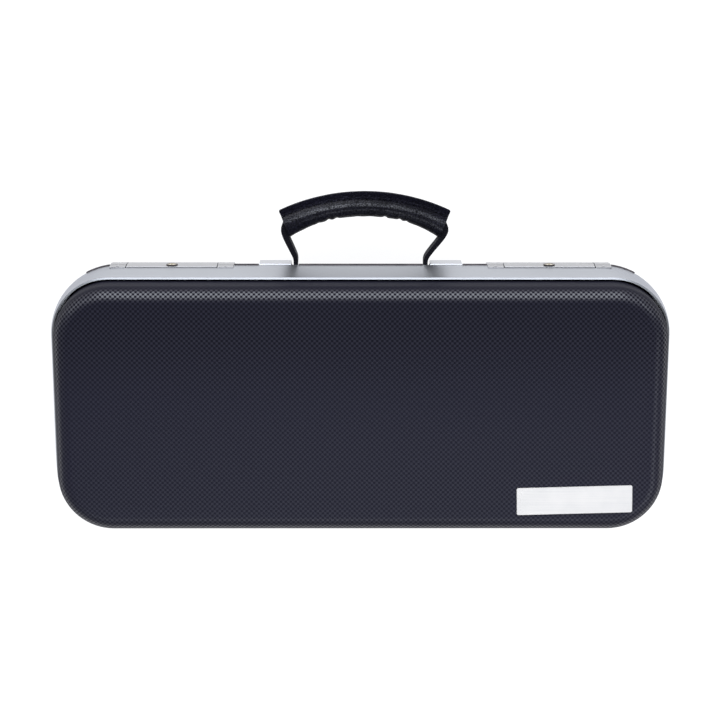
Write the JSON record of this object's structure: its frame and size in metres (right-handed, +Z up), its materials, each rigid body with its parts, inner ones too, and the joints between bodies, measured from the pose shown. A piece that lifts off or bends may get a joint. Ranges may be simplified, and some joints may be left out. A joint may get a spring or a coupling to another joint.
{
  "type": "oboe case",
  "caption": "Hard oblong instrument case with rounded corners: dark moulded shells in aluminium rims, hinged lid, key latches, arched carrying handle and a padded bed.",
  "frame": {"origin": "centre of the flat face the closed case lies on, under the middle of the shell", "axes": "+Z up through the lid; +X along the length; -Y towards the handle and latches; +Y towards the hinges"},
  "size_m": [0.385, 0.2122, 0.0858],
  "materials": {
    "shell": "satin, embossed with a fine check",
    "rim": "satin",
    "fitting": "satin plated",
    "lock_ring": "dark bronzed",
    "lock_plug": "polished",
    "pin": "bright",
    "seal": "matte",
    "plush": "short pile",
    "webbing": "woven",
    "leather": "pebbled grain",
    "grip_filling": "felt",
    "name_plate": "satin white"
  },
  "bodies": {
    "base": {"base_shell": "shell", "base_rim": "rim", "seam_seal": "seal", "base_bed": "plush", "latch_plate_left": "fitting", "latch_plate_right": "fitting", "latch_plate_rivets": "pin", "latch_pins": "pin", "hinge_leaves_base": "fitting", "hinge_pins": "pin", "hinge_rivets_base": "pin", "bracket_left": "fitting", "bracket_right": "fitting", "bracket_studs": "pin", "strap_ends": "webbing", "cover_pins": "pin"},
    "lid": {"lid_shell": "shell", "lid_rim": "rim", "lid_lining": "plush", "name_plate": "name_plate", "strike_left": "fitting", "strike_right": "fitting", "strike_rivets": "pin", "hinge_leaves_lid": "fitting", "hinge_rivets_lid": "pin"},
    "hasp_left": {"hasp_left": "fitting", "lock_body_left": "lock_ring"},
    "hasp_right": {"hasp_right": "fitting", "lock_body_right": "lock_ring"},
    "plug_left": {"lock_plug_left": "lock_plug"},
    "plug_right": {"lock_plug_right": "lock_plug"},
    "handle": {"handle_strap": "webbing", "grip_core": "grip_filling", "grip_leather": "leather"},
    "cover": {"cover_board": "plush", "cover_tab": "leather"}
  },
  "joints": [
    {"name": "lid_hinge", "type": "hinge", "parent": "base", "child": "lid", "pos_m": [0, 0.0829, 0.0425], "axis": [-1, 0, 0], "range_deg": [0, 105]},
    {"name": "hasp_left_hinge", "type": "hinge", "parent": "base", "child": "hasp_left", "pos_m": [-0.1163, -0.0815, 0.0315], "axis": [1, 0, 0], "range_deg": [0, 110]},
    {"name": "hasp_right_hinge", "type": "hinge", "parent": "base", "child": "hasp_right", "pos_m": [0.1163, -0.0815, 0.0315], "axis": [1, 0, 0], "range_deg": [0, 110]},
    {"name": "lock_left_turn", "type": "hinge", "parent": "hasp_left", "child": "plug_left", "pos_m": [-0.1163, -0.0835, 0.0425], "axis": [0, -1, 0], "range_deg": [0, 90]},
    {"name": "lock_right_turn", "type": "hinge", "parent": "hasp_right", "child": "plug_right", "pos_m": [0.1163, -0.0835, 0.0425], "axis": [0, -1, 0], "range_deg": [0, 90]},
    {"name": "handle_fold", "type": "hinge", "parent": "base", "child": "handle", "pos_m": [0, -0.092, 0.0335], "axis": [-1, 0, 0], "range_deg": [-50, 60], "stiffness_Nm_per_rad": 0.15},
    {"name": "cover_hinge", "type": "hinge", "parent": "base", "child": "cover", "pos_m": [-0.092, 0.0616, 0.0369], "axis": [-1, 0, 0], "range_deg": [0, 60]}
  ]
}
